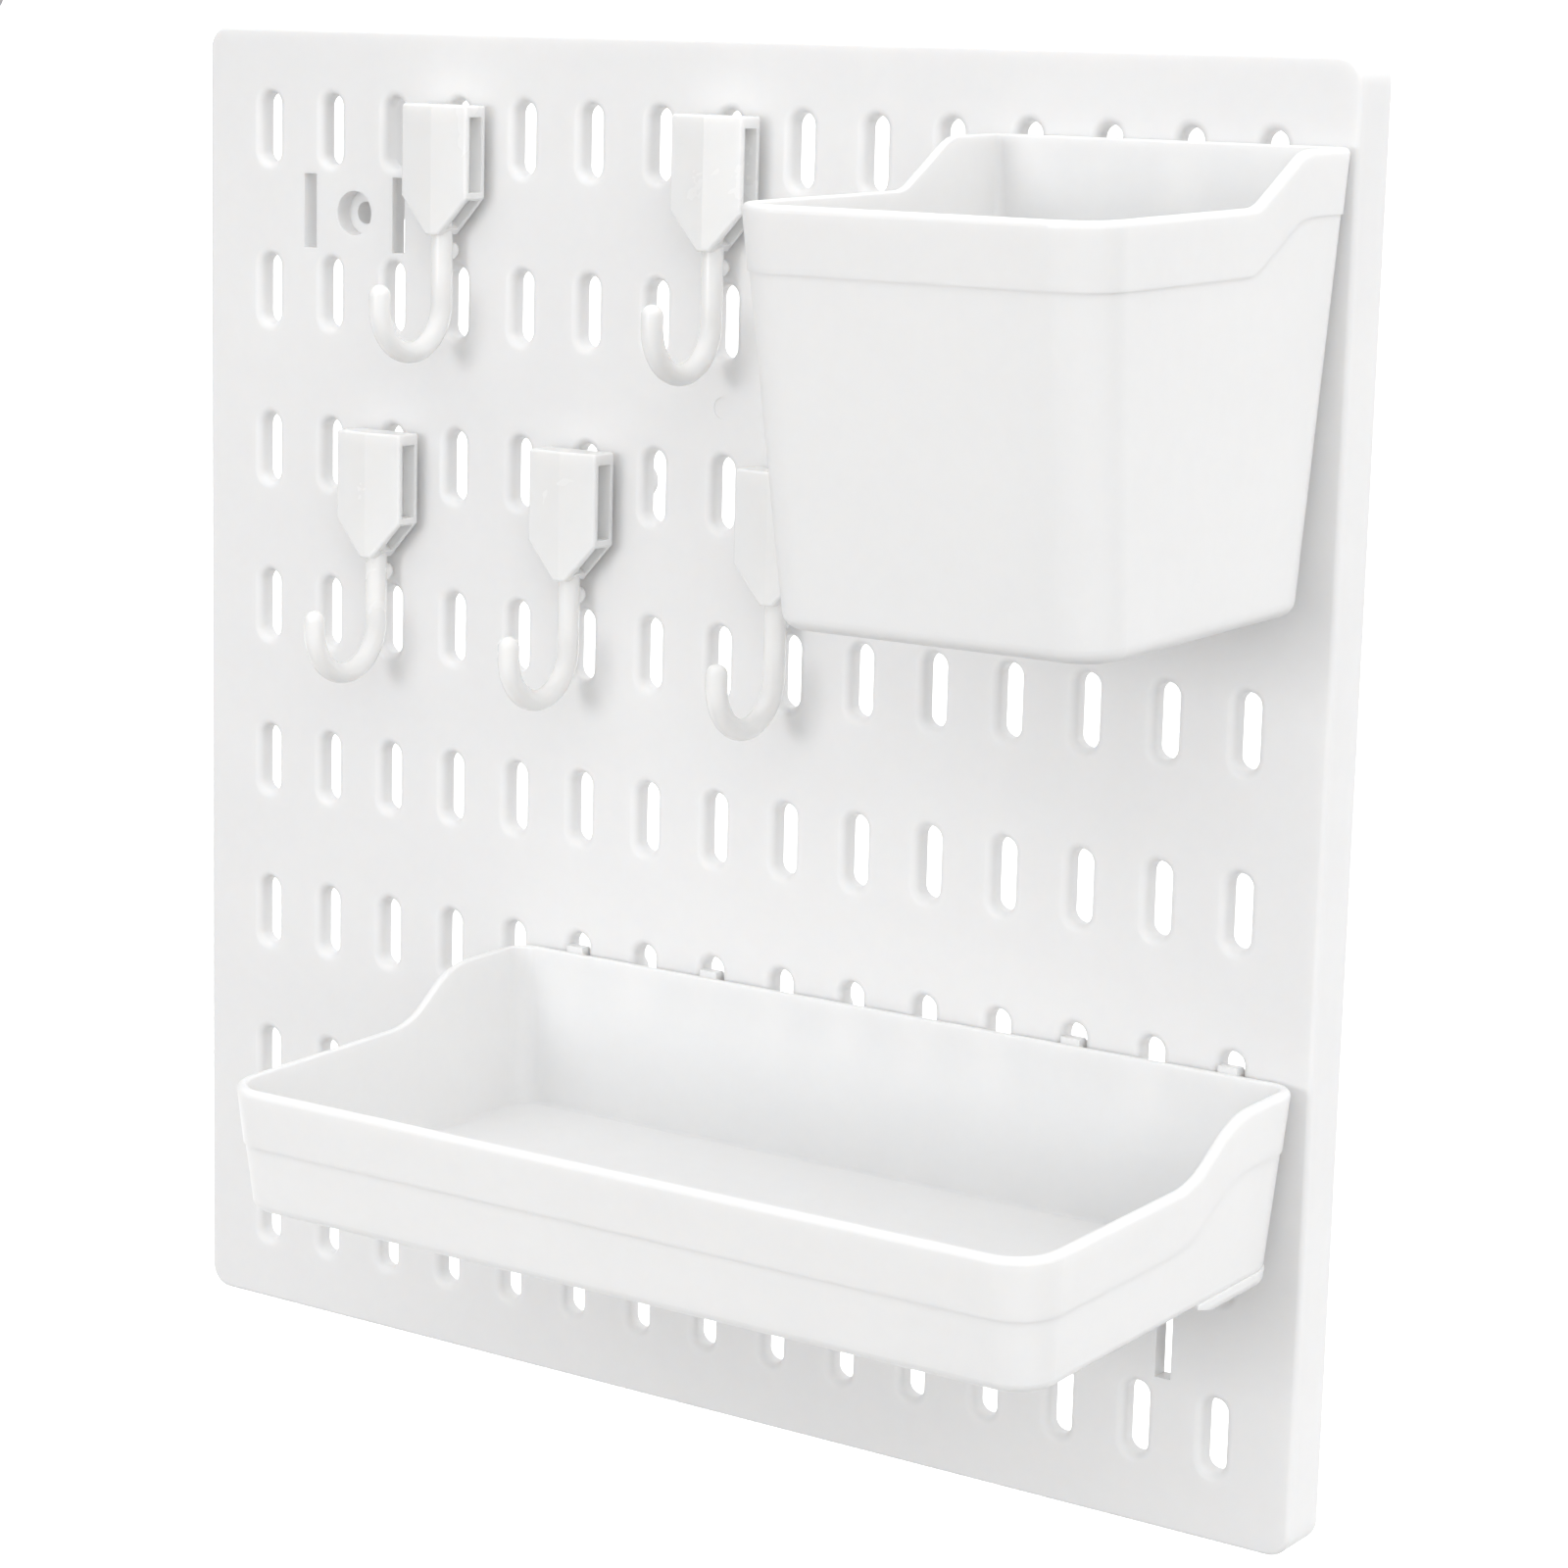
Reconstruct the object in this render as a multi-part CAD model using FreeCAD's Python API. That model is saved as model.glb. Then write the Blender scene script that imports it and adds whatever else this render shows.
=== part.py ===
import FreeCAD, Part
import math
import os

# A wall pegboard of white moulded plastic with its hang-on parts.
# Millimetres. X runs to the right, Y into the wall, Z up.
# The origin is the centre of the four wall screws, on the wall plane.

Vec = FreeCAD.Vector

# Slot pattern
SLOT_COLUMNS = 15
SLOT_ROWS = 8
SLOT_PITCH_X = 17.5
SLOT_PITCH_Z = 35.0
SLOT_WIDTH = 5.0
SLOT_LENGTH = 15.0
SLOT_ROUND = 1.8

# Panel
SIDE_MARGIN = 17.5
END_MARGIN = 21.5
PANEL_DEPTH = 12.5
PLATE = 4.0
SKIRT_WALL = 2.2
PANEL_CORNER = 5.0
FRONT_ROUND = 1.0
REAR_ROUND = 0.8
GATE_MARK_DIAMETER = 4.6
GATE_MARK_DEPTH = 0.25

# Four screw places, each in from the outermost slot column and level with the gap between two rows
SCREW_INSET = 24.1
SCREW_BORE = 4.8
SCREW_HEAD_BORE = 9.5
SCREW_HEAD_DEPTH = 4.0
SCREW_SEAT = 2.0
BOSS_WALL = 1.45
BOSS_FOOT_WALL = 1.6
RAIL_SLOT_OFFSET = 12.4
RAIL_SLOT_WIDTH = 3.5
RAIL_SLOT_LENGTH = 16.0
RAIL_WALL = 1.6
RAIL_LIP = 1.5
RAIL_SETBACK = 1.5

# Ribs and bosses on the back
RIB_WALL = 1.6
LOW_RIB_HEIGHT = 4.0
GUSSET_SETBACK = 2.4
GUSSET_OFFSET = 6.1
STANDOFF_DIAMETER = 7.4
STANDOFF_SETBACK = 3.4
LOW_RIB_COLUMNS = (3.5, 10.5)
LOW_RIB_ROWS = (1.5, 3.5, 5.5)
STANDOFF_COLUMNS = (5.5, 8.5)
STANDOFF_ROWS = (2, 5)

# Tab that hooks down behind the plate, one shape on every hang-on part
TAB_CLEARANCE = 0.4
SEAT_CLEARANCE = 0.3
TAB_HEIGHT = 12.1
TAB_REACH = 3.5
TAB_LEAD_CLEARANCE = 1.3
TAB_ROOT = 0.8

# J hook
SHIELD_WIDTH = 17.4
SHIELD_TOP_BELOW_SLOT = 1.0
SHIELD_SIDE = 19.2
SHIELD_POINT = 7.85
SHIELD_POINT_WIDTH = 3.0
SHIELD_THICKNESS = 6.2
SHIELD_RIDGE = 0.9
SHIELD_ROUND = 0.6
SHIELD_STANDOFF = 1.8
WINDOW_DEPTH = 3.0
POINT_WINDOW_DEPTH = 2.0
WINDOW_FRAME_REAR = 1.0
WINDOW_OPENING = 4.1
WINDOW_TOP_FRAME = 2.4
WINDOW_BOTTOM_FRAME = 1.2
POINT_WINDOW_TOP_FRAME = 0.6
POINT_WINDOW_BOTTOM_FRAME = 1.7
STEM_DIAMETER = 4.5
STEM_DROP = 14.25
STEM_START = 3.0
STEM_BEFORE_BEAD = 2.65
BEND_RADIUS = 10.1
TIP_RISE = 2.15
BEAD_DIAMETER = 3.9
BEAD_BELOW_POINT = 3.4
HOOK_PLACES = (
    ("j_hook_top_left", 3, 0),
    ("j_hook_top_centre", 7, 0),
    ("j_hook_middle_left", 2, 2),
    ("j_hook_middle_centre", 5, 2),
    ("j_hook_middle_right", 8, 2),
)

# Wall and rim common to the two open basins
BASIN_WALL = 1.8
RIM_BAND = 12.0
RIM_PROUD = 0.35
RIM_ROUND_OUTSIDE = 1.2
RIM_ROUND_INSIDE = 0.5

# Bucket
BUCKET_TAB_MIDDLE_COLUMN = 13
BUCKET_ROW = 0
BUCKET_TAB_OFFSETS = (-1, 1)
BUCKET_SHIFT = -4.0
BUCKET_RIM_ABOVE_SLOT = 5.1
BUCKET_WIDTH = 76.8
BUCKET_REACH = 93.6
BUCKET_HEIGHT = 85.7
BUCKET_DIP = 9.5
BUCKET_DIP_AT = 27.0
BUCKET_DIP_SLOPE = 29.5
BUCKET_DIP_ROUND = 10.0
BUCKET_CORNER = 10.0
BUCKET_REAR_CORNER = 2.5
BUCKET_SIDE_TAPER = 3.2
BUCKET_FRONT_TAPER = 12.0
BUCKET_REAR_TAPER = 3.7
BUCKET_FLOOR_ROUND = 3.5
BUCKET_FLOOR_CORNER = 9.0
BUCKET_SAG = 1.2

# Tray
TRAY_TAB_MIDDLE_COLUMN = 9.5
TRAY_ROW = 5
TRAY_TAB_OFFSETS = (-4.5, -2.5, 2.5, 4.5)
TRAY_RIM_ABOVE_SLOT = 3.7
TRAY_WIDTH = 189.0
TRAY_REACH = 99.0
TRAY_HEIGHT = 35.8
TRAY_DIP = 9.8
TRAY_DIP_AT = 32.4
TRAY_DIP_SLOPE = 34.0
TRAY_DIP_ROUND = 20.0
TRAY_CORNER = 11.0
TRAY_REAR_CORNER = 6.0
TRAY_SIDE_TAPER = 2.5
TRAY_FRONT_TAPER = 5.0
TRAY_REAR_TAPER = 2.1
TRAY_FLOOR_ROUND = 2.5
TRAY_FLOOR_CORNER = 8.0
TRAY_SAG = 1.2
TRAY_HEEL_DROP = 2.6
TRAY_HEEL_LENGTH = 34.0
TRAY_HEEL_RAMP = 9.0

PANEL_WIDTH = (SLOT_COLUMNS - 1) * SLOT_PITCH_X + 2 * SIDE_MARGIN
PANEL_HEIGHT = (SLOT_ROWS - 1) * SLOT_PITCH_Z + 2 * END_MARGIN
PLATE_BACK = PLATE - PANEL_DEPTH
SEAT = -PANEL_DEPTH - SEAT_CLEARANCE
SHIELD_REAR = -PANEL_DEPTH - SHIELD_STANDOFF
BEAD_AXIS = SEAT - BEAD_DIAMETER / 2
STEM_AXIS = BEAD_AXIS - STEM_BEFORE_BEAD
OVERLAP = 0.5
TINY = 1e-6


def column_x(column):
    return (column - (SLOT_COLUMNS - 1) / 2) * SLOT_PITCH_X


def row_z(row):
    return ((SLOT_ROWS - 1) / 2 - row) * SLOT_PITCH_Z


def rounded_rectangle(half_x, half_z, radius, y):
    """Outline in a plane square to Y, centred on the Y axis."""
    r = radius
    k = r * (1 - math.sqrt(0.5))
    corners = []
    for sx, sz in ((1, 1), (-1, 1), (-1, -1), (1, -1)):
        corners.append((sx, sz))
    edges = []
    for index, (sx, sz) in enumerate(corners):
        along_x = Vec(sx * (half_x - r), y, sz * half_z)
        middle = Vec(sx * (half_x - k), y, sz * (half_z - k))
        along_z = Vec(sx * half_x, y, sz * (half_z - r))
        if sx * sz > 0:
            first, last = along_z, along_x
        else:
            first, last = along_x, along_z
        edges.append(Part.Arc(first, middle, last).toShape())
        nx, nz = corners[(index + 1) % 4]
        if nx == sx:
            ahead = Vec(nx * half_x, y, nz * (half_z - r))
        else:
            ahead = Vec(nx * (half_x - r), y, nz * half_z)
        edges.append(Part.LineSegment(last, ahead).toShape())
    return Part.Wire(edges)


def obround(x, z, width, length, y_front, y_back):
    """Upright slot-shaped prism with full-round ends."""
    r = width / 2
    top = z + length / 2 - r
    bottom = z - length / 2 + r
    wire = Part.Wire([
        Part.LineSegment(Vec(x - r, y_front, bottom), Vec(x - r, y_front, top)).toShape(),
        Part.Arc(Vec(x - r, y_front, top), Vec(x, y_front, top + r), Vec(x + r, y_front, top)).toShape(),
        Part.LineSegment(Vec(x + r, y_front, top), Vec(x + r, y_front, bottom)).toShape(),
        Part.Arc(
            Vec(x + r, y_front, bottom), Vec(x, y_front, bottom - r), Vec(x - r, y_front, bottom)
        ).toShape(),
    ])
    return Part.Face(wire).extrude(Vec(0, y_back - y_front, 0))


def block(x0, x1, y0, y1, z0, z1):
    return Part.makeBox(x1 - x0, y1 - y0, z1 - z0, Vec(x0, y0, z0))


def rod(diameter, x, z, y0, y1):
    return Part.makeCylinder(diameter / 2, y1 - y0, Vec(x, y0, z), Vec(0, 1, 0))


def screw_places():
    places = []
    for side in (-1, 1):
        for row in (0.5, SLOT_ROWS - 1.5):
            places.append((side * (column_x(SLOT_COLUMNS - 1) - SCREW_INSET), row_z(row)))
    return places


def panel_shell():
    """Plate with its skirt: a shallow open-backed tray."""
    outline = rounded_rectangle(PANEL_WIDTH / 2, PANEL_HEIGHT / 2, PANEL_CORNER, -PANEL_DEPTH)
    shell = Part.Face(outline).extrude(Vec(0, PANEL_DEPTH, 0))
    front = [e for e in shell.Edges if max(abs(v.Y + PANEL_DEPTH) for v in e.Vertexes) < 1e-6]
    shell = shell.makeFillet(FRONT_ROUND, front)
    rear = [e for e in shell.Edges if max(abs(v.Y) for v in e.Vertexes) < 1e-6]
    shell = shell.makeFillet(REAR_ROUND, rear)
    inside = rounded_rectangle(
        PANEL_WIDTH / 2 - SKIRT_WALL, PANEL_HEIGHT / 2 - SKIRT_WALL, PANEL_CORNER - SKIRT_WALL, PLATE_BACK
    )
    return shell.cut(Part.Face(inside).extrude(Vec(0, PANEL_DEPTH, 0)))


def slot_cutters():
    cutters = []
    for column in range(SLOT_COLUMNS):
        for row in range(SLOT_ROWS):
            cutters.append(obround(
                column_x(column), row_z(row), SLOT_WIDTH, SLOT_LENGTH,
                -PANEL_DEPTH - OVERLAP, PLATE_BACK + OVERLAP,
            ))
    return cutters


def with_round_slots(plate):
    """Cut all slots and round their front rims."""
    plate = plate.cut(slot_cutters())
    inner_x = PANEL_WIDTH / 2 - SKIRT_WALL
    rims = []
    for edge in plate.Edges:
        box = edge.BoundBox
        on_front = abs(box.YMin + PANEL_DEPTH) < TINY and abs(box.YMax + PANEL_DEPTH) < 1e-6
        if on_front and max(abs(box.XMin), abs(box.XMax)) < inner_x and box.ZLength <= SLOT_LENGTH:
            if box.XLength <= SLOT_WIDTH + TINY:
                rims.append(edge)
    return plate.makeFillet(SLOT_ROUND, rims)


def screw_boss(x, z):
    """Stepped boss that carries the counterbore and reaches the wall."""
    head_back = SCREW_HEAD_DEPTH + SCREW_SEAT - PANEL_DEPTH
    upper = rod(SCREW_HEAD_BORE + 2 * BOSS_WALL, x, z, PLATE_BACK - OVERLAP, head_back)
    lower = rod(SCREW_BORE + 2 * BOSS_FOOT_WALL, x, z, head_back - OVERLAP, 0)
    return upper.fuse(lower)


def screw_cutters(x, z):
    head = rod(SCREW_HEAD_BORE, x, z, -PANEL_DEPTH - OVERLAP, SCREW_HEAD_DEPTH - PANEL_DEPTH)
    bore = rod(SCREW_BORE, x, z, -PANEL_DEPTH, OVERLAP)
    cutters = [head, bore]
    for side in (-1, 1):
        middle = x + side * RAIL_SLOT_OFFSET
        cutters.append(block(
            middle - RAIL_SLOT_WIDTH / 2, middle + RAIL_SLOT_WIDTH / 2,
            -PANEL_DEPTH - OVERLAP, PLATE_BACK + OVERLAP,
            z - RAIL_SLOT_LENGTH / 2, z + RAIL_SLOT_LENGTH / 2,
        ))
    return cutters


def rails(x, z):
    """Two walls with lips turned towards the screw, each behind its moulding slot."""
    pieces = []
    for side in (-1, 1):
        inner = x + side * (RAIL_SLOT_OFFSET - RAIL_SLOT_WIDTH / 2)
        root = x + side * (RAIL_SLOT_OFFSET + RAIL_SLOT_WIDTH / 2)
        outer = root + side * RAIL_WALL
        wall = block(
            min(root, outer), max(root, outer), PLATE_BACK - OVERLAP, -RAIL_SETBACK,
            z - RAIL_SLOT_LENGTH / 2, z + RAIL_SLOT_LENGTH / 2,
        )
        lip = block(
            min(inner, outer), max(inner, outer), -RAIL_SETBACK - RAIL_LIP, -RAIL_SETBACK,
            z - RAIL_SLOT_LENGTH / 2, z + RAIL_SLOT_LENGTH / 2,
        )
        pieces.append(wall.fuse(lip))
    return pieces


def gussets(x, z):
    """Two upright ribs from an upper screw boss to the top skirt."""
    pieces = []
    inner = x - math.copysign(GUSSET_OFFSET, x)
    for middle in (x, inner):
        pieces.append(block(
            middle - RIB_WALL / 2, middle + RIB_WALL / 2, PLATE_BACK - OVERLAP, -GUSSET_SETBACK,
            z, PANEL_HEIGHT / 2 - SKIRT_WALL / 2,
        ))
    return pieces


def low_ribs():
    """Shallow stiffening ribs that run between the slots across the back."""
    half_x = PANEL_WIDTH / 2 - SKIRT_WALL / 2
    half_z = PANEL_HEIGHT / 2 - SKIRT_WALL / 2
    crest = PLATE_BACK + LOW_RIB_HEIGHT
    pieces = []
    for column in LOW_RIB_COLUMNS:
        x = column_x(column)
        pieces.append(block(
            x - RIB_WALL / 2, x + RIB_WALL / 2, PLATE_BACK - OVERLAP, crest, -half_z, half_z
        ))
    for row in LOW_RIB_ROWS:
        z = row_z(row)
        pieces.append(block(
            -half_x, half_x, PLATE_BACK - OVERLAP, crest, z - RIB_WALL / 2, z + RIB_WALL / 2
        ))
    return pieces


def standoffs():
    pieces = []
    for column in STANDOFF_COLUMNS:
        for row in STANDOFF_ROWS:
            pieces.append(rod(
                STANDOFF_DIAMETER, column_x(column), row_z(row), PLATE_BACK - OVERLAP, -STANDOFF_SETBACK
            ))
    return pieces


def pegboard_panel():
    added = low_ribs() + standoffs()
    cutters = []
    for x, z in screw_places():
        added.append(screw_boss(x, z))
        added.extend(rails(x, z))
        cutters.extend(screw_cutters(x, z))
        if z > 0:
            added.extend(gussets(x, z))
    plate = with_round_slots(panel_shell())
    mark = rod(
        GATE_MARK_DIAMETER, column_x((SLOT_COLUMNS - 1) / 2), row_z(LOW_RIB_ROWS[0]),
        -PANEL_DEPTH - OVERLAP, GATE_MARK_DEPTH - PANEL_DEPTH,
    )
    cutters.append(mark)
    return plate.fuse(added).cut(cutters).removeSplitter()


def tab(x, z, root_y):
    """Peg that fills a slot from root_y and hooks down behind the plate.

    z is the slot's centre. The lower side runs at 45 degrees behind the plate,
    so the part lifts off upwards and forwards.
    """
    r = SLOT_WIDTH / 2 - TAB_CLEARANCE
    low = z - SLOT_LENGTH / 2 + SEAT_CLEARANCE
    high = low + TAB_HEIGHT
    wire = Part.Wire([
        Part.LineSegment(Vec(x + r, root_y, low + r), Vec(x + r, root_y, high)).toShape(),
        Part.LineSegment(Vec(x + r, root_y, high), Vec(x - r, root_y, high)).toShape(),
        Part.LineSegment(Vec(x - r, root_y, high), Vec(x - r, root_y, low + r)).toShape(),
        Part.Arc(
            Vec(x - r, root_y, low + r), Vec(x, root_y, low), Vec(x + r, root_y, low + r)
        ).toShape(),
    ])
    neck_end = PLATE_BACK + SEAT_CLEARANCE
    section = Part.Face(wire)
    neck = section.extrude(Vec(0, neck_end - root_y, 0))
    section_behind = section.translated(Vec(0, neck_end - root_y, 0))
    finger = section_behind.extrude(Vec(0, TAB_REACH, -TAB_REACH))
    lead_top = z + SLOT_LENGTH / 2 - TAB_LEAD_CLEARANCE
    far = TAB_REACH + SLOT_LENGTH
    above = Part.Face(Part.makePolygon([
        Vec(x - SLOT_WIDTH, -PANEL_DEPTH, lead_top),
        Vec(x - SLOT_WIDTH, far - PANEL_DEPTH, lead_top - far),
        Vec(x - SLOT_WIDTH, far - PANEL_DEPTH, lead_top + far),
        Vec(x - SLOT_WIDTH, -PANEL_DEPTH, lead_top + far),
        Vec(x - SLOT_WIDTH, -PANEL_DEPTH, lead_top),
    ])).extrude(Vec(2 * SLOT_WIDTH, 0, 0))
    return neck.fuse(finger).cut(above).removeSplitter()


def shield(x, top):
    """House-shaped body upside down, with a low ridge down its front."""
    half = SHIELD_WIDTH / 2
    shoulder = top - SHIELD_SIDE
    point = shoulder - SHIELD_POINT
    half_point = SHIELD_POINT_WIDTH / 2
    rear = SHIELD_REAR
    front = rear - SHIELD_THICKNESS
    ridge = front - SHIELD_RIDGE
    outline = Part.makePolygon([
        Vec(x - half, rear, top), Vec(x + half, rear, top), Vec(x + half, rear, shoulder),
        Vec(x + half_point, rear, point), Vec(x - half_point, rear, point),
        Vec(x - half, rear, shoulder), Vec(x - half, rear, top),
    ])
    body = Part.Face(outline).extrude(Vec(0, ridge - rear, 0))
    roof = Part.Face(Part.makePolygon([
        Vec(x - half, rear, point), Vec(x + half, rear, point), Vec(x + half, front, point),
        Vec(x, ridge, point), Vec(x - half, front, point), Vec(x - half, rear, point),
    ])).extrude(Vec(0, 0, SHIELD_SIDE + SHIELD_POINT))
    body = body.common(roof)
    rounded = []
    for edge in body.Edges:
        box = edge.BoundBox
        in_front = box.YMax < rear - TINY
        on_ridge = box.XLength < TINY and abs(box.XMin - x) < TINY
        across_side = box.YLength > SHIELD_THICKNESS - TINY
        if in_front and not on_ridge:
            rounded.append(edge)
        elif across_side and box.ZMin > top - TINY:
            rounded.append(edge)
    return body.makeFillet(SHIELD_ROUND, rounded)


def shield_windows(x, top):
    """Shallow pockets in the two sides and in the two slopes to the point."""
    half = SHIELD_WIDTH / 2
    shoulder = top - SHIELD_SIDE
    rear = SHIELD_REAR - WINDOW_FRAME_REAR
    pockets = []
    for side in (-1, 1):
        reach = x + side * (half + OVERLAP)
        floor = x + side * (half - WINDOW_DEPTH)
        pockets.append(block(
            min(floor, reach), max(floor, reach), rear - WINDOW_OPENING, rear,
            shoulder + WINDOW_BOTTOM_FRAME, top - WINDOW_TOP_FRAME,
        ))
        corner = Vec(x + side * half, rear, shoulder)
        slope = Vec(side * (SHIELD_POINT_WIDTH / 2 - half), 0, -SHIELD_POINT)
        length = slope.Length
        slope.normalize()
        inward = Vec(side * slope.z, 0, -side * slope.x)
        upper = corner + slope * POINT_WINDOW_TOP_FRAME
        lower = corner + slope * (length - POINT_WINDOW_BOTTOM_FRAME)
        pockets.append(Part.Face(Part.makePolygon([
            upper - inward * OVERLAP, lower - inward * OVERLAP, lower + inward * POINT_WINDOW_DEPTH,
            upper + inward * POINT_WINDOW_DEPTH, upper - inward * OVERLAP,
        ])).extrude(Vec(0, -WINDOW_OPENING, 0)))
    return pockets


def j_rod(x, z_top, z_bend):
    """Round rod: straight down, a half-round bend forward, a short rise and a domed tip."""
    r = STEM_DIAMETER / 2
    front = STEM_AXIS - 2 * BEND_RADIUS
    stem = Part.makeCylinder(r, z_top - z_bend, Vec(x, STEM_AXIS, z_bend))
    circle = Part.Face(Part.Wire(Part.makeCircle(r, Vec(x, STEM_AXIS, z_bend))))
    bend = circle.revolve(Vec(x, STEM_AXIS - BEND_RADIUS, z_bend), Vec(1, 0, 0), -180)
    rise = Part.makeCylinder(r, TIP_RISE, Vec(x, front, z_bend))
    dome = Part.makeSphere(r, Vec(x, front, z_bend + TIP_RISE))
    return stem.fuse([bend, rise, dome])


def j_hook(column, row):
    x = column_x(column)
    z = row_z(row)
    top = z + SLOT_LENGTH / 2 - SHIELD_TOP_BELOW_SLOT
    point = top - SHIELD_SIDE - SHIELD_POINT
    body = shield(x, top).cut(shield_windows(x, top))
    rod_shape = j_rod(x, point + STEM_START, point - STEM_DROP)
    bead = Part.makeSphere(BEAD_DIAMETER / 2, Vec(x, BEAD_AXIS, point - BEAD_BELOW_POINT))
    root = SHIELD_REAR - TAB_ROOT
    return body.fuse([rod_shape, bead, tab(x, z, root)]).removeSplitter()


def plan_outline(half, reach, front_corner, rear_corner, z, rear=0.0):
    """Rounded plan outline, with its rear side on y = rear and its front at y = rear - reach."""
    front = rear - reach
    rf = front_corner
    rr = rear_corner
    kf = rf * (1 - math.sqrt(0.5))
    kr = rr * (1 - math.sqrt(0.5))
    return Part.Wire([
        Part.LineSegment(Vec(-half + rr, rear, z), Vec(half - rr, rear, z)).toShape(),
        Part.Arc(
            Vec(half - rr, rear, z), Vec(half - kr, rear - kr, z), Vec(half, rear - rr, z)
        ).toShape(),
        Part.LineSegment(Vec(half, rear - rr, z), Vec(half, front + rf, z)).toShape(),
        Part.Arc(
            Vec(half, front + rf, z), Vec(half - kf, front + kf, z), Vec(half - rf, front, z)
        ).toShape(),
        Part.LineSegment(Vec(half - rf, front, z), Vec(-half + rf, front, z)).toShape(),
        Part.Arc(
            Vec(-half + rf, front, z), Vec(-half + kf, front + kf, z), Vec(-half, front + rf, z)
        ).toShape(),
        Part.LineSegment(Vec(-half, front + rf, z), Vec(-half, rear - rr, z)).toShape(),
        Part.Arc(
            Vec(-half, rear - rr, z), Vec(-half + kr, rear - kr, z), Vec(-half + rr, rear, z)
        ).toShape(),
    ])


def basin_block(b, inset, floor_z):
    """Tapered solid of a basin, moved in all round by inset, with a rounded floor edge."""
    top = plan_outline(
        b["width"] / 2 - inset, b["reach"] - 2 * inset,
        b["corner"] - inset, max(b["rear_corner"] - inset, 1.0), 0.0, -inset,
    )
    share = floor_z / -b["height"]
    bottom = plan_outline(
        b["width"] / 2 - b["side_taper"] * share - inset,
        b["reach"] - (b["front_taper"] + b["rear_taper"]) * share - 2 * inset,
        b["floor_corner"] - inset, b["floor_corner"] - inset, floor_z,
        -inset - b["rear_taper"] * share,
    )
    solid = Part.makeLoft([top, bottom], True, True)
    floor_edges = []
    for edge in solid.Edges:
        if edge.BoundBox.ZMax < floor_z + TINY:
            floor_edges.append(edge)
    return solid.makeFillet(max(b["floor_round"] - inset, 0.8), floor_edges)


def rim_profile(b, drop):
    """Solid above the rim line: level at the back, one smooth step down, level to the front."""
    slope = math.radians(b["dip_slope"])
    r = b["dip_round"]
    half = b["dip"] / 2 / math.tan(slope)
    t = r * math.tan(slope / 2)
    middle = -b["dip_at"]
    high = -drop
    low = -b["dip"] - drop
    k = r * math.sin(slope / 2)
    h = r * (1 - math.cos(slope / 2))
    rear_start = middle + half + t
    front_end = middle - half - t
    rear_join = Vec(0, middle + half - t * math.cos(slope), high - t * math.sin(slope))
    front_join = Vec(0, middle - half + t * math.cos(slope), low + t * math.sin(slope))
    out = b["reach"] + b["width"]
    edges = [
        Part.LineSegment(Vec(0, out, high), Vec(0, rear_start, high)).toShape(),
        Part.Arc(Vec(0, rear_start, high), Vec(0, rear_start - k, high - h), rear_join).toShape(),
        Part.LineSegment(rear_join, front_join).toShape(),
        Part.Arc(front_join, Vec(0, front_end + k, low + h), Vec(0, front_end, low)).toShape(),
        Part.LineSegment(Vec(0, front_end, low), Vec(0, -out, low)).toShape(),
        Part.LineSegment(Vec(0, -out, low), Vec(0, -out, out)).toShape(),
        Part.LineSegment(Vec(0, -out, out), Vec(0, out, out)).toShape(),
        Part.LineSegment(Vec(0, out, out), Vec(0, out, high)).toShape(),
    ]
    face = Part.Face(Part.Wire(edges))
    face.translate(Vec(-b["width"], 0, 0))
    return face.extrude(Vec(2 * b["width"], 0, 0))


def rim_edges(shell, above, side):
    """Edges of the shell that lie both on the rim line and on the surface of side."""
    found = []
    wall = side.Shells[0]
    for edge in shell.Edges:
        middle = Part.Vertex(edge.valueAt((edge.FirstParameter + edge.LastParameter) / 2))
        if middle.distToShape(above)[0] < 1e-4 and middle.distToShape(wall)[0] < 1e-4:
            found.append(edge)
    return found


def basin_shell(b):
    """Open basin at the origin: rear face on y = 0, rear rim at z = 0, not yet sagging."""
    above = rim_profile(b, 0.0)
    body = basin_block(b, RIM_PROUD, -b["height"])
    band = basin_block(b, 0.0, -b["height"]).common(rim_profile(b, RIM_BAND))
    inside = basin_block(b, RIM_PROUD + BASIN_WALL, -b["height"] + BASIN_WALL)
    shell = body.fuse(band).cut([above, inside]).removeSplitter()
    outside = basin_block(b, 0.0, -b["height"])
    shell = shell.makeFillet(RIM_ROUND_INSIDE, rim_edges(shell, above, inside))
    return shell.makeFillet(RIM_ROUND_OUTSIDE, rim_edges(shell, above, outside))


def tray_heel(b):
    """Low foot under the rear of the tray, open inside, that ramps up to the floor."""
    deep = dict(b)
    deep["height"] = b["height"] + TRAY_HEEL_DROP
    outer = basin_block(deep, RIM_PROUD, -deep["height"])
    inner = basin_block(deep, RIM_PROUD + BASIN_WALL, -deep["height"] - TRAY_FLOOR_ROUND)
    half = b["width"]
    floor = -b["height"] + BASIN_WALL / 2
    keep = Part.Face(Part.makePolygon([
        Vec(-half, OVERLAP, floor),
        Vec(-half, OVERLAP, -deep["height"] - OVERLAP),
        Vec(-half, TRAY_HEEL_RAMP - TRAY_HEEL_LENGTH, -deep["height"] - OVERLAP),
        Vec(-half, TRAY_HEEL_RAMP - TRAY_HEEL_LENGTH, -deep["height"]),
        Vec(-half, -TRAY_HEEL_LENGTH, -b["height"]),
        Vec(-half, -TRAY_HEEL_LENGTH, floor),
        Vec(-half, OVERLAP, floor),
    ])).extrude(Vec(2 * half, 0, 0))
    return outer.cut(inner).common(keep)


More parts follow.
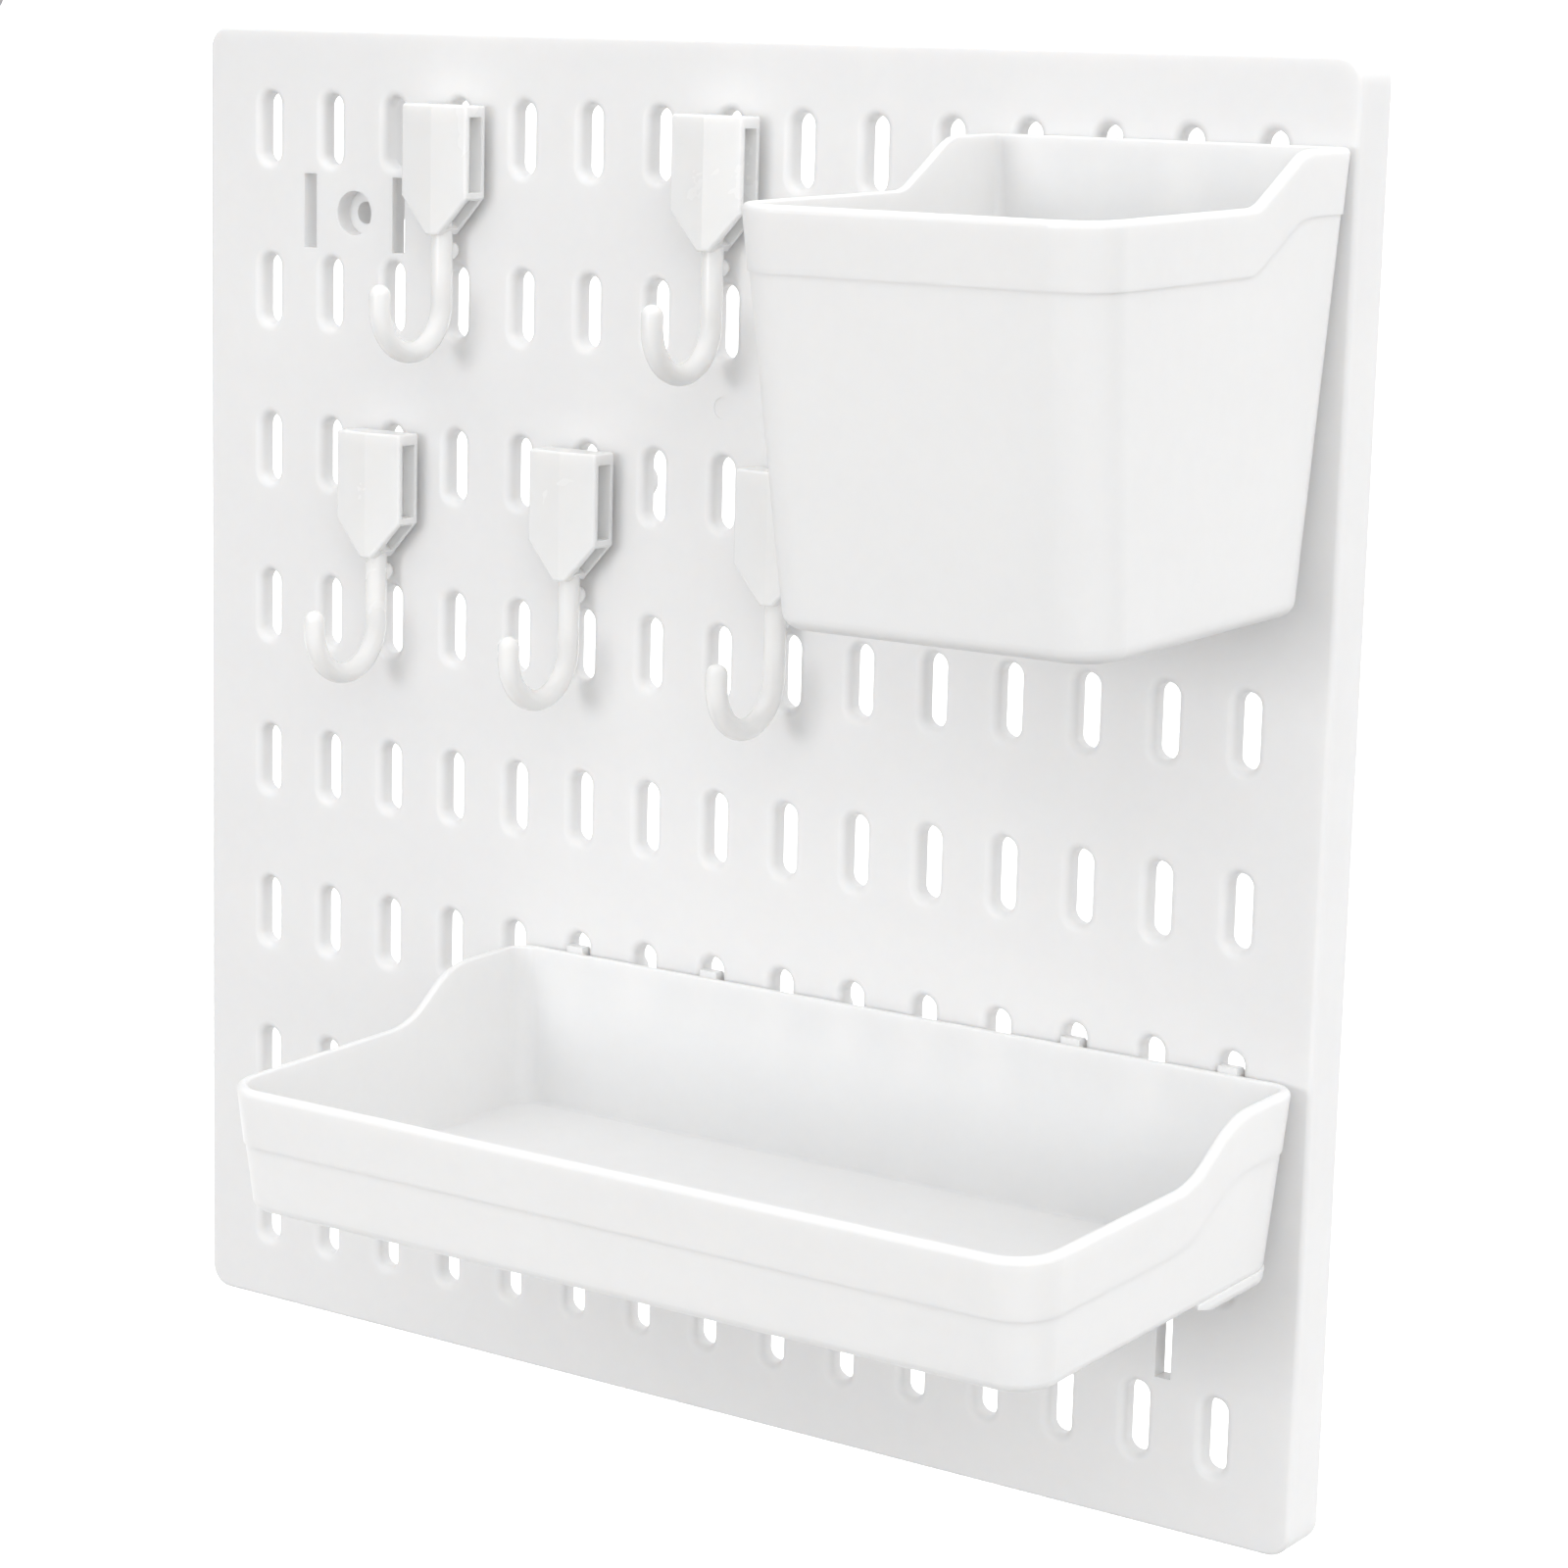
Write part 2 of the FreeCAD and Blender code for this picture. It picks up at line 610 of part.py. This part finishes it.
def placed(shape, sag, x, rim_z):
    """Let the basin sag forward about its rear rim and set it on the panel."""
    shape = shape.copy()
    shape.rotate(Vec(0, 0, 0), Vec(1, 0, 0), sag)
    shape.translate(Vec(x, SEAT, rim_z))
    return shape


def bucket():
    b = {
        "width": BUCKET_WIDTH, "reach": BUCKET_REACH, "height": BUCKET_HEIGHT, "dip": BUCKET_DIP,
        "dip_at": BUCKET_DIP_AT, "dip_slope": BUCKET_DIP_SLOPE, "dip_round": BUCKET_DIP_ROUND,
        "corner": BUCKET_CORNER, "rear_corner": BUCKET_REAR_CORNER, "side_taper": BUCKET_SIDE_TAPER,
        "front_taper": BUCKET_FRONT_TAPER, "rear_taper": BUCKET_REAR_TAPER,
        "floor_round": BUCKET_FLOOR_ROUND, "floor_corner": BUCKET_FLOOR_CORNER,
    }
    z = row_z(BUCKET_ROW)
    x = column_x(BUCKET_TAB_MIDDLE_COLUMN) + BUCKET_SHIFT
    shell = placed(basin_shell(b), BUCKET_SAG, x, z + BUCKET_RIM_ABOVE_SLOT)
    columns = [BUCKET_TAB_MIDDLE_COLUMN + k for k in BUCKET_TAB_OFFSETS]
    tabs = [tab(column_x(column), z, SEAT - TAB_ROOT) for column in columns]
    return shell.fuse(tabs).removeSplitter()


def tray():
    b = {
        "width": TRAY_WIDTH, "reach": TRAY_REACH, "height": TRAY_HEIGHT, "dip": TRAY_DIP,
        "dip_at": TRAY_DIP_AT, "dip_slope": TRAY_DIP_SLOPE, "dip_round": TRAY_DIP_ROUND,
        "corner": TRAY_CORNER, "rear_corner": TRAY_REAR_CORNER, "side_taper": TRAY_SIDE_TAPER,
        "front_taper": TRAY_FRONT_TAPER, "rear_taper": TRAY_REAR_TAPER,
        "floor_round": TRAY_FLOOR_ROUND, "floor_corner": TRAY_FLOOR_CORNER,
    }
    z = row_z(TRAY_ROW)
    shell = basin_shell(b).fuse(tray_heel(b)).removeSplitter()
    shell = placed(shell, TRAY_SAG, column_x(TRAY_TAB_MIDDLE_COLUMN), z + TRAY_RIM_ABOVE_SLOT)
    columns = [TRAY_TAB_MIDDLE_COLUMN + k for k in TRAY_TAB_OFFSETS]
    tabs = [tab(column_x(column), z, SEAT - TAB_ROOT) for column in columns]
    return shell.fuse(tabs).removeSplitter()


def save(shape, name):
    if shape.ShapeType == "Compound" and len(shape.Solids) == 1:
        shape = shape.Solids[0]
    box = shape.BoundBox
    print(name, shape.ShapeType, "solids", len(shape.Solids), "valid", shape.isValid(),
          "volume %.1f" % shape.Volume,
          "x %.2f..%.2f y %.2f..%.2f z %.2f..%.2f" % (
              box.XMin, box.XMax, box.YMin, box.YMax, box.ZMin, box.ZMax))
    shape.exportStep("parts/" + name + ".step")


os.makedirs("parts", exist_ok=True)
save(pegboard_panel(), "pegboard_panel")
for hook_name, hook_column, hook_row in HOOK_PLACES:
    save(j_hook(hook_column, hook_row), hook_name)
save(bucket(), "bucket")
save(tray(), "tray")
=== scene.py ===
import math

import bmesh
import bpy
from mathutils import Matrix, Vector


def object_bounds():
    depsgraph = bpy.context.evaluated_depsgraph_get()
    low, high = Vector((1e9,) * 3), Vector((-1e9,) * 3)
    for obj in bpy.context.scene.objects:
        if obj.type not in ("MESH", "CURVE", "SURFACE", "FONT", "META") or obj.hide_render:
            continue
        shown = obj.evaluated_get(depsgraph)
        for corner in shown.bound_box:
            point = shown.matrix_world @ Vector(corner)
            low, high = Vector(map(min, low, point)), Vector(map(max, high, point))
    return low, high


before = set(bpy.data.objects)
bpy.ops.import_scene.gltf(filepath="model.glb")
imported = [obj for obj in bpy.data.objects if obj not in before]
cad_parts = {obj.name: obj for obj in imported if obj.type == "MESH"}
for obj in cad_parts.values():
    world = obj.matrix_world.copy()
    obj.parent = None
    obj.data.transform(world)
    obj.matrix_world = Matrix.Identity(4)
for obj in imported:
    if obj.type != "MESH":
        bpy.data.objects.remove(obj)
cad_low, cad_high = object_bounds()


# The pegboard panel
# One injection-moulded tray of white polypropylene, slotted in a mould and hung on four wall screws.
# Its face has a fine satin grain, and the thin plate is never quite flat, so its sheen drifts.

PLASTIC_IOR = 1.49
SCATTER_SHARE = 0.7
SCATTER_RADII = (1.0, 0.92, 0.84)
CLOUD_SIZE = 0.030
CLOUD_SHARE = 0.7
SPECK_SIZE = 0.0016
SPECK_SHARE = 0.3
RUB_SIZE = 0.011
WAVE_SIZE = 0.045
WAVE_DEPTH = 0.0011
WAVE_STRENGTH = 0.35
GRAIN_DEPTH = 0.00002
GRAIN_STRENGTH = 0.5


def add_node(tree, kind, **sockets):
    """A shader node with the named sockets set."""
    made = tree.nodes.new(kind)
    for label, value in sockets.items():
        made.inputs[label.replace("_", " ")].default_value = value
    return made


def noise(tree, place, size, detail, **sockets):
    """Noise whose lumps are about size metres wide."""
    made = add_node(tree, "ShaderNodeTexNoise", Scale=0.5 / size, Detail=detail, **sockets)
    tree.links.new(place.outputs["Vector"], made.inputs["Vector"])
    return made


def spread(tree, source, low, high, contrast=0.2):
    """The source's middle values stretched to run from low to high."""
    made = add_node(
        tree, "ShaderNodeMapRange", From_Min=0.5 - contrast, From_Max=0.5 + contrast, To_Min=low, To_Max=high)
    tree.links.new(source, made.inputs["Value"])
    return made.outputs["Result"]


def bump(tree, height, depth, strength, below=None):
    """A relief that is depth metres deep, laid over another relief where one is given."""
    made = add_node(tree, "ShaderNodeBump", Strength=strength, Distance=depth)
    tree.links.new(height, made.inputs["Height"])
    if below is not None:
        tree.links.new(below, made.inputs["Normal"])
    return made.outputs["Normal"]


def moulded_white(name, pale, deep, gloss, grain, start, glow):
    """White moulded plastic with the given least and most roughness as its gloss.

    pale and deep are its tints, grain is the size of its relief and start shifts its pattern. glow is how far light
    travels inside it. Sizes are in metres.
    """
    material = bpy.data.materials.new(name)
    material.use_nodes = True
    tree = material.node_tree
    shader = tree.nodes["Principled BSDF"]
    shader.inputs["IOR"].default_value = PLASTIC_IOR
    shader.inputs["Subsurface Weight"].default_value = SCATTER_SHARE
    shader.inputs["Subsurface Radius"].default_value = SCATTER_RADII
    shader.inputs["Subsurface Scale"].default_value = glow
    coordinates = tree.nodes.new("ShaderNodeTexCoord")
    place = add_node(tree, "ShaderNodeMapping", Location=start)
    tree.links.new(coordinates.outputs["Object"], place.inputs["Vector"])

    cloud = noise(tree, place, CLOUD_SIZE, 3.0, Roughness=0.55, Distortion=0.4)
    speck = noise(tree, place, SPECK_SIZE, 2.0, Roughness=0.6)
    tint = add_node(tree, "ShaderNodeMix")
    tint.data_type = "RGBA"
    tint.inputs["A"].default_value = (*deep, 1.0)
    tint.inputs["B"].default_value = (*pale, 1.0)
    both = tree.nodes.new("ShaderNodeMath")
    both.operation = "ADD"
    tree.links.new(spread(tree, cloud.outputs["Fac"], 0.0, CLOUD_SHARE), both.inputs[0])
    tree.links.new(spread(tree, speck.outputs["Fac"], 0.0, SPECK_SHARE), both.inputs[1])
    tree.links.new(both.outputs["Value"], tint.inputs["Factor"])
    tree.links.new(tint.outputs["Result"], shader.inputs["Base Color"])

    rub = noise(tree, place, RUB_SIZE, 4.0, Roughness=0.6, Distortion=0.8)
    tree.links.new(spread(tree, rub.outputs["Fac"], *gloss), shader.inputs["Roughness"])

    wave = noise(tree, place, WAVE_SIZE, 1.0)
    skin = noise(tree, place, grain, 2.0, Roughness=0.7)
    relief = bump(tree, wave.outputs["Fac"], WAVE_DEPTH, WAVE_STRENGTH)
    relief = bump(tree, skin.outputs["Fac"], GRAIN_DEPTH, GRAIN_STRENGTH, relief)
    tree.links.new(relief, shader.inputs["Normal"])
    return material


def finish_node(name, material):
    """Gives a carried-over piece its plastic."""
    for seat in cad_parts[name].material_slots:
        seat.link = "OBJECT"
        seat.material = material


panel_white = moulded_white(
    "panel satin white", pale=(0.845, 0.845, 0.845), deep=(0.815, 0.815, 0.818),
    gloss=(0.40, 0.50), grain=0.0007, start=(0.3, 0.1, 0.7), glow=0.0025)
finish_node("pegboard_panel", panel_white)


# The J hooks
# Five small white hooks, each a shield with a bent round rod moulded on, clipped down into a slot by tabs.
# They come from a polished mould, so they are a little glossier than the panel.

hook_white = moulded_white(
    "hook gloss white", pale=(0.860, 0.858, 0.852), deep=(0.832, 0.829, 0.823),
    gloss=(0.20, 0.29), grain=0.0005, start=(0.9, 0.2, 0.4), glow=0.003)
for hook in [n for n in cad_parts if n.startswith("j_hook")]:
    finish_node(hook, hook_white)


# The bucket
# A deep thin-walled white bin with a stepped rim band, hung on two tabs in the top row of slots.
# It is moulded in one piece with drafted sides, and its smooth walls carry a soft sheen.

# These whites are set a little below the panel's: painted shade for the dimmer light on the bin's drafted front.
bucket_white = moulded_white(
    "bucket smooth white", pale=(0.832, 0.832, 0.830), deep=(0.804, 0.804, 0.805),
    gloss=(0.34, 0.45), grain=0.0006, start=(0.2, 0.6, 0.1), glow=0.003)
finish_node("bucket", bucket_white)


# The tray
# A wide shallow white tray with the same rim band, hung on four tabs, with a heel that rests on the panel.
# It is the same smooth plastic as the bucket.

# Like the bucket's, these whites are set a little below the panel's: painted shade for the dimmer light on the
# tray's drafted front.
tray_white = moulded_white(
    "tray smooth white", pale=(0.832, 0.832, 0.830), deep=(0.804, 0.804, 0.805),
    gloss=(0.34, 0.45), grain=0.0006, start=(0.5, 0.8, 0.9), glow=0.003)
finish_node("tray", tray_white)


# The studio floor
# A sheet of pale paper that lies well below the object and curves up behind it.

FLOOR_HALF = 4.0
FLOOR_BELOW = 0.36
WALL_HEIGHT = 5.0
WALL_CURVE = 1.5
PAPER_GLOW = 0.75
PAPER_FIBRE_SCALE = 60.0

paper_mesh = bpy.data.meshes.new("studio_paper")
paper = bmesh.new()
bmesh.ops.create_grid(
    paper, x_segments=1, y_segments=1, size=FLOOR_HALF,
    matrix=Matrix.Translation((0, 0, cad_low.z - FLOOR_BELOW)))
rear_edges = [e for e in paper.edges if all(v.co.y > 0 for v in e.verts)]
risen = bmesh.ops.extrude_edge_only(paper, edges=rear_edges)
bmesh.ops.translate(
    paper, verts=[g for g in risen["geom"] if isinstance(g, bmesh.types.BMVert)], vec=(0, 0, WALL_HEIGHT))
bmesh.ops.bevel(
    paper, geom=rear_edges, offset=WALL_CURVE, segments=16, affect="EDGES", profile=0.5, material=-1)
paper.to_mesh(paper_mesh)
paper.free()
for face in paper_mesh.polygons:
    face.use_smooth = True
studio_paper = bpy.data.objects.new("studio_paper", paper_mesh)
bpy.context.scene.collection.objects.link(studio_paper)

paper_white = bpy.data.materials.new("pale studio paper")
paper_white.use_nodes = True
paper_tree = paper_white.node_tree
paper_shader = paper_tree.nodes["Principled BSDF"]
paper_shader.inputs["Roughness"].default_value = 0.9
paper_shader.inputs["Emission Color"].default_value = (1.0, 1.0, 1.0, 1.0)
paper_shader.inputs["Emission Strength"].default_value = PAPER_GLOW
paper_place = paper_tree.nodes.new("ShaderNodeTexCoord")
paper_fibre = add_node(paper_tree, "ShaderNodeTexNoise", Scale=PAPER_FIBRE_SCALE, Detail=4.0)
paper_tree.links.new(paper_place.outputs["Object"], paper_fibre.inputs["Vector"])
paper_tint = add_node(paper_tree, "ShaderNodeMix")
paper_tint.data_type = "RGBA"
paper_tint.inputs["A"].default_value = (0.86, 0.86, 0.86, 1.0)
paper_tint.inputs["B"].default_value = (0.92, 0.92, 0.92, 1.0)
paper_tree.links.new(paper_fibre.outputs["Fac"], paper_tint.inputs["Factor"])
paper_tree.links.new(paper_tint.outputs["Result"], paper_shader.inputs["Base Color"])
paper_mesh.materials.append(paper_white)
studio_paper.visible_diffuse = False


# The studio light
# A key light in front and a little to the left, a large soft light at the front right, and a surround that
# brightens upwards and to the right and never falls below its least level.

def softbox(name, place, aim, width, height, power):
    """An area light at place that points at aim."""
    lamp = bpy.data.lights.new(name, "AREA")
    lamp.shape = "RECTANGLE"
    lamp.size = width
    lamp.size_y = height
    lamp.energy = power
    box = bpy.data.objects.new(name, lamp)
    direction = Vector(aim) - Vector(place)
    turn = direction.to_track_quat("-Z", "Y").to_matrix().to_4x4()
    box.matrix_world = Matrix.Translation(place) @ turn
    bpy.context.scene.collection.objects.link(box)


softbox("key_light", (-0.34, -1.88, 0.22), (0.0, 0.0, 0.0), width=0.50, height=0.50, power=9.0)
softbox("side_light", (1.35, -1.15, 0.75), (0.05, -0.04, 0.0), width=1.6, height=1.6, power=2.5)

SURROUND_LEVEL = 0.52
SURROUND_LEAST = 0.42
SURROUND_RISE = (0.55, 0.0, 1.05)
surround = bpy.data.worlds.new("studio surround")
surround.use_nodes = True
surround_tree = surround.node_tree
surround_place = surround_tree.nodes.new("ShaderNodeTexCoord")
surround_lean = surround_tree.nodes.new("ShaderNodeVectorMath")
surround_lean.operation = "DOT_PRODUCT"
surround_lean.inputs[1].default_value = SURROUND_RISE
surround_rise = surround_tree.nodes.new("ShaderNodeMath")
surround_rise.operation = "ADD"
surround_rise.inputs[1].default_value = SURROUND_LEVEL
surround_floor = surround_tree.nodes.new("ShaderNodeMath")
surround_floor.operation = "MAXIMUM"
surround_floor.inputs[1].default_value = SURROUND_LEAST
surround_tree.links.new(surround_place.outputs["Generated"], surround_lean.inputs[0])
surround_tree.links.new(surround_lean.outputs["Value"], surround_rise.inputs[0])
surround_tree.links.new(surround_rise.outputs["Value"], surround_floor.inputs[0])
background = surround_tree.nodes["Background"]
background.inputs["Color"].default_value = (1.0, 1.0, 1.0, 1.0)
surround_tree.links.new(surround_floor.outputs["Value"], background.inputs["Strength"])
bpy.context.scene.world = surround
bpy.context.scene.view_settings.view_transform = "Standard"


# The camera
# It stands to the right of the panel and a little above it, with a long lens.

CAMERA_PLACE = (0.4664, -0.6762, 0.1450)
CAMERA_AZIMUTH = 34.085
CAMERA_ELEVATION = 10.651
CAMERA_ROLL = 1.447
CAMERA_LENS = 91.376
CAMERA_SENSOR = 36.0

camera_data = bpy.data.cameras.new("photo_camera")
camera_data.lens = CAMERA_LENS
camera_data.sensor_width = CAMERA_SENSOR
camera = bpy.data.objects.new("photo_camera", camera_data)
turned = Matrix.Rotation(math.radians(CAMERA_AZIMUTH), 4, "Z")
tilted = Matrix.Rotation(math.radians(90.0 - CAMERA_ELEVATION), 4, "X")
rolled = Matrix.Rotation(math.radians(CAMERA_ROLL), 4, "Z")
camera.matrix_world = Matrix.Translation(CAMERA_PLACE) @ turned @ tilted @ rolled
bpy.context.scene.collection.objects.link(camera)
bpy.context.scene.camera = camera
